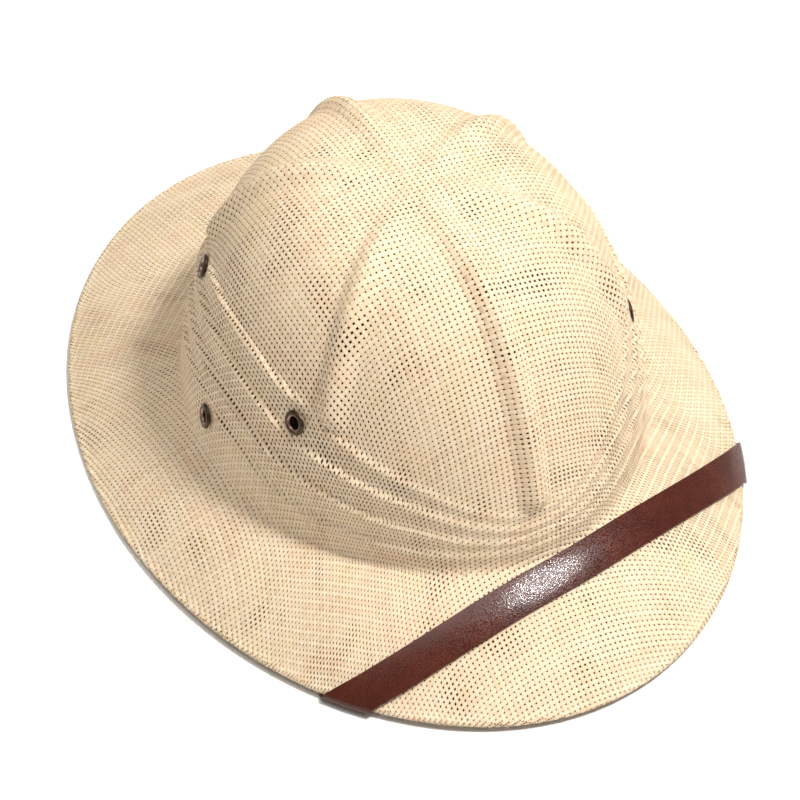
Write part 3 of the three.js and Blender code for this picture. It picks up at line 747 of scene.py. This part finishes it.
blush = ramp(tree, clouds.outputs["Fac"], (
    (0.36, (0.98, 0.95, 0.84)), (0.5, (1, 1, 1)), (0.64, (1.0, 0.90, 0.84)),
), between="EASE")
coloured = mixed(tree, 0.5, streaked, blush, way="MULTIPLY")
round_strand = node(tree, "ShaderNodeMath", {0: split.outputs["Y"]}, operation="FRACT").outputs[0]
# Painted shade: the edges of each strand are darkened a little and its inner face much more,
# standing in for the shade between the strands and inside the helmet.
painted_side_shade = ramp(tree, round_strand, (
    (0.0, (1, 1, 1)), (0.26, (0.88, 0.79, 0.66)),
    (0.5, (0.34, 0.24, 0.15)), (0.74, (0.88, 0.79, 0.66)),
), between="CONSTANT")
coloured = mixed(tree, 1.0, coloured, painted_side_shade, way="MULTIPLY")
tree.links.new(coloured, shader.inputs["Base Color"])
tree.links.new(bumped(tree, fibres.outputs["Fac"], 0.35, 0.0002), shader.inputs["Normal"])
for piece in straw_pieces:
    piece.data.materials.append(straw)
print("straw finish has", len(tree.nodes), "nodes")

# %% [markdown]
# ## Chin strap
# The strap is a flat band of coated leather. Its path over the brim, round the hem and up
# to the low eyelets is already right in the frame, so a copy of that piece is taken. The
# copy's loose triangles are merged, its long edges are rounded with a bevel as a strap
# cutter's burnished edge is, and the faces between are smoothed.

# %% Chin strap
strap_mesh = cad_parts["chin_strap"].data.copy()
strap = bpy.data.objects.new("strap_band", strap_mesh)
bpy.context.scene.collection.objects.link(strap)
strap.data.materials.clear()
select_only(strap)
bpy.ops.object.mode_set(mode="EDIT")
bpy.ops.mesh.select_all(action="SELECT")
bpy.ops.mesh.remove_doubles(threshold=0.00002)
bpy.ops.mesh.normals_make_consistent(inside=False)
bpy.ops.mesh.tris_convert_to_quads(
    face_threshold=math.radians(30), shape_threshold=math.radians(60))
bpy.ops.object.mode_set(mode="OBJECT")
rounding = strap.modifiers.new("burnished edges", "BEVEL")
rounding.width = 0.45 * MM
rounding.segments = 3
rounding.limit_method = "ANGLE"
rounding.angle_limit = math.radians(50)
bpy.ops.object.modifier_apply(modifier=rounding.name)
bpy.ops.object.shade_smooth_by_angle(angle=math.radians(50))
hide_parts("chin_strap")
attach(strap, "root")
print("strap has", len(strap.data.polygons), "faces")

# %% [markdown]
# ## Strap finish
# Coated leather shows dark red brown in its depth and a pale sheen where it mirrors the
# lamp. The sheen is broken up into fine speckles in two ways: small cells bump the
# surface, and a noise of the same fineness makes spots that are duller than the rest.

# %% Strap finish
leather, tree, shader = new_finish("strap leather", roughness=0.16, specular=0.46)
everywhere = node(tree, "ShaderNodeTexCoord").outputs["Object"]
grain = node(tree, "ShaderNodeTexVoronoi", {"Vector": everywhere, "Scale": 1900.0})
soft_marks = node(tree, "ShaderNodeTexNoise", {"Vector": everywhere, "Scale": 90.0, "Detail": 4.0})
brown = ramp(tree, soft_marks.outputs["Fac"], (
    (0.3, (0.050, 0.006, 0.002)), (0.55, (0.070, 0.010, 0.003)), (0.8, (0.100, 0.018, 0.006)),
))
tree.links.new(brown, shader.inputs["Base Color"])
tree.links.new(bumped(tree, grain.outputs["Distance"], 1.0, 0.000048), shader.inputs["Normal"])
dulled = node(tree, "ShaderNodeTexNoise", {"Vector": everywhere, "Scale": 1900.0, "Detail": 1.0})
tree.links.new(ramp(tree, dulled.outputs["Fac"], (
    (0.42, (0.08, 0.08, 0.08)), (0.58, (0.42, 0.42, 0.42)),
)), shader.inputs["Roughness"])
strap.data.materials.append(leather)
print("strap finish has", len(tree.nodes), "nodes")

# %% [markdown]
# ## Eyelets
# Each eyelet is a metal tube whose outer end is rolled over into a ring and whose inner
# end is flattened against the straw. It is round, so it is turned like a bowl: one circle
# is extruded and scaled from ring to ring along its section. The two low eyelets reach
# further inwards, because they also hold the ends of the strap.

# %% Turning an eyelet
EYELET_BORE, BARREL_RADIUS = 2.7, 3.2
OUTSIDE, ROLL_FOOT, ROLL = 0.5, 0.25, 1.3
ROUND_STOPS = 40


def eyelet_section(back):
    """Radius and height of each turned ring, from the barrel out, over and back."""
    middle = (EYELET_RADIUS + EYELET_BORE) / 2
    half = (EYELET_RADIUS - EYELET_BORE) / 2
    turns = np.radians(np.linspace(-20, 200, 12))
    rolled = []
    for turn in turns:
        rise = ROLL_FOOT + (ROLL - ROLL_FOOT) * max(0, math.sin(turn))
        rolled.append((middle + half * math.cos(turn), OUTSIDE + rise))
    return (
        [(BARREL_RADIUS, OUTSIDE), (4.9, OUTSIDE)] + rolled
        + [(2.68, OUTSIDE - 0.4), (EYELET_BORE, back), (2.85, back - 0.75),
           (3.4, back - 0.95), (4.4, back - 0.85), (4.7, back - 0.55), (4.6, back - 0.3),
           (BARREL_RADIUS, back - 0.3)]
    )


def turned_eyelet(name, back):
    """A whole eyelet with its axis upwards, whose inner end lies at the height back."""
    section = eyelet_section(back)
    bpy.ops.object.select_all(action="DESELECT")
    radius, height = section[0]
    bpy.ops.mesh.primitive_circle_add(
        vertices=ROUND_STOPS, radius=radius * MM, fill_type="NOTHING",
        location=(0, 0, height * MM))
    ring = bpy.context.object
    ring.name = name
    bpy.ops.object.transform_apply(location=True)
    bpy.ops.object.mode_set(mode="EDIT")
    bpy.ops.mesh.select_all(action="SELECT")
    for new_radius, new_height in section[1:] + section[:1]:
        rise = (0, 0, (new_height - height) * MM)
        bpy.ops.mesh.extrude_edges_move(TRANSFORM_OT_translate={"value": rise})
        share = new_radius / radius
        bpy.ops.transform.resize(value=(share, share, 1), center_override=(0, 0, new_height * MM))
        radius, height = new_radius, new_height
    bpy.ops.mesh.select_all(action="SELECT")
    bpy.ops.mesh.remove_doubles(threshold=0.000005)
    bpy.ops.mesh.normals_make_consistent(inside=False)
    bpy.ops.object.mode_set(mode="OBJECT")
    bpy.ops.object.shade_smooth_by_angle(angle=math.radians(60))
    return ring


# %% [markdown]
# ## Eyelet finish
# The rings are dark bronze. The roll is worn to a lighter, pinkish metal on its inner lip,
# where cords and fingers pass, so a second, paler metal is given to the faces nearest the
# hole. Fine spots in colour and bump keep both from looking like plastic.

# %% Eyelet finish
def metal(name, dark, light, roughness):
    finish, tree, shader = new_finish(name, roughness=roughness, metallic=0.9)
    place = node(tree, "ShaderNodeTexCoord").outputs["Object"]
    spots = node(tree, "ShaderNodeTexNoise", {"Vector": place, "Scale": 900.0, "Detail": 5.0})
    colour = ramp(tree, spots.outputs["Fac"], ((0.35, dark), (0.7, light)))
    tree.links.new(colour, shader.inputs["Base Color"])
    tree.links.new(bumped(tree, spots.outputs["Fac"], 0.25, 0.00005), shader.inputs["Normal"])
    return finish


bronze = metal("dark bronze", (0.045, 0.028, 0.018), (0.11, 0.075, 0.05), 0.38)
worn_bronze = metal("worn bronze", (0.30, 0.18, 0.13), (0.45, 0.30, 0.24), 0.34)
print("metals:", bronze.name, "and", worn_bronze.name)

# %% [markdown]
# ## Eyelets in their places
# Two eyelets are modelled and given their two metals, a short one and a long one for the
# strap. Each place on the crown then gets its own copy, which stands square to the crown.
# Three of them were not set quite square on the real helmet, so they lean a little, and
# the left front one is also pressed deeper into the straw.

# %% Model the short and the long eyelet
WORN_WITHIN, WORN_ABOVE = 3.35, 0.2
BACK_GAP, LONGER_BARREL = 0.2, 2.2


def finished_eyelet(name, back):
    made = turned_eyelet(name, back)
    made.data.materials.append(bronze)
    made.data.materials.append(worn_bronze)
    for face in made.data.polygons:
        off_axis = math.hypot(face.center.x, face.center.y) / MM
        if off_axis < WORN_WITHIN and face.center.z / MM > OUTSIDE + WORN_ABOVE:
            face.material_index = 1
    return made


short_eyelet = finished_eyelet("short_eyelet", -WALL - BACK_GAP)
long_eyelet = finished_eyelet("long_eyelet", -WALL - BACK_GAP - LONGER_BARREL)
print("an eyelet has", len(short_eyelet.data.polygons), "faces")

# %% Stand copies in their places
# Degrees tipped down, degrees turned about the upright, and millimetres pressed inwards.
LEANS = {
    "eyelet_left_front": (8, 8, 1.35),
    "eyelet_right_front": (0, -10, 0),
    "eyelet_right_low": (0, -8, 0),
}
for eyelet, (angle, height) in EYELETS.items():
    model = long_eyelet if eyelet.endswith("low") else short_eyelet
    ring = bpy.data.objects.new(eyelet.replace("eyelet", "ring"), model.data.copy())
    bpy.context.scene.collection.objects.link(ring)
    origin, normal = crown_point(np.float64(angle), np.float64(height), 0)
    tip, turned, sunk = LEANS.get(eyelet, (0, 0, 0))
    facing = Vector(normal)
    facing.rotate(Matrix.Rotation(math.radians(tip), 3, Vector((-facing.y, facing.x, 0))))
    facing.rotate(Matrix.Rotation(math.radians(turned), 3, "Z"))
    origin = origin - sunk * normal
    turn = Vector((0, 0, 1)).rotation_difference(facing).to_matrix().to_4x4()
    ring.matrix_world = Matrix.Translation(Vector(origin) * MM) @ turn
    select_only(ring)
    bpy.ops.object.transform_apply(location=True, rotation=True, scale=True)
    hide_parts(eyelet)
    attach(ring, "root")
bpy.data.objects.remove(short_eyelet)
bpy.data.objects.remove(long_eyelet)
print("eyelets:", len(EYELETS))

# %% [markdown]
# ## Floor and light
# The floor is a plain pale sheet, large enough to fill the picture. Under the helmet a
# dark warm brown shadow is painted into its colour, because the light that falls through
# the weave would otherwise make its holes look pale. A small strong lamp stands where the
# strap mirrors it towards the camera, at the front right. A wide weak one hangs overhead,
# and a warm room light fills the shades.

# %% Floor
FLOOR_SIZE, FLOOR_DROP = 12, 0.0002
SHADED_WITHIN, PALE_FROM = 0.925, 0.98
bpy.ops.object.select_all(action="DESELECT")
bpy.ops.mesh.primitive_plane_add(size=FLOOR_SIZE, location=(0, 0, -FLOOR_DROP))
floor = bpy.context.object
floor.name = "floor"
paper, tree, shader = new_finish("floor paper", roughness=0.9, specular=0.1)
place = node(tree, "ShaderNodeTexCoord").outputs["Object"]
mottle = node(tree, "ShaderNodeTexNoise", {"Vector": place, "Scale": 4.0})
tone = ramp(tree, mottle.outputs["Fac"], ((0.3, (0.90, 0.90, 0.90)), (0.7, (0.93, 0.93, 0.93))))
to_hem = (1 / (BRIM_HALF_WIDTH * MM), 1 / (BRIM_HALF_LENGTH * MM), 0)
scaled = node(tree, "ShaderNodeVectorMath", {0: place, 1: to_hem}, operation="MULTIPLY")
share = node(tree, "ShaderNodeVectorMath", {0: scaled.outputs[0]}, operation="LENGTH")
# Painted shadow: under the helmet the floor's colour turns a dark warm brown, easing out to the
# pale floor just inside the hem.
painted_shadow_under_helmet = ramp(tree, share.outputs["Value"], (
    (SHADED_WITHIN, (0.07, 0.042, 0.025)), (PALE_FROM, (1.0, 1.0, 1.0)),
), between="EASE")
tree.links.new(mixed(tree, 1.0, tone, painted_shadow_under_helmet, way="MULTIPLY"), shader.inputs["Base Color"])
floor.data.materials.append(paper)
print("floor is", FLOOR_SIZE, "m wide")


# %% Lamps
def lamp(name, position, size, power, colour):
    data = bpy.data.lights.new(name, "AREA")
    data.shape = "DISK"
    data.size, data.energy, data.color = size, power, colour
    made = bpy.data.objects.new(name, data)
    made.location = position
    made.rotation_euler = (-Vector(position)).to_track_quat("-Z", "Y").to_euler()
    bpy.context.scene.collection.objects.link(made)


lamp("key", (0.63, -0.52, 1.96), size=0.32, power=42, colour=(1.0, 0.985, 0.97))
lamp("overhead", (-0.3, 0.2, 2.15), size=1.5, power=14, colour=(1.0, 0.98, 0.96))
sky = bpy.data.worlds.new("soft white room")
bpy.context.scene.world = sky
sky.use_nodes = True
background = sky.node_tree.nodes["Background"]
background.inputs["Color"].default_value = (1.0, 0.95, 0.88, 1)
background.inputs["Strength"].default_value = 0.32
print("lamps:", len(bpy.data.lights))
bpy.context.scene.view_settings.view_transform = "Standard"
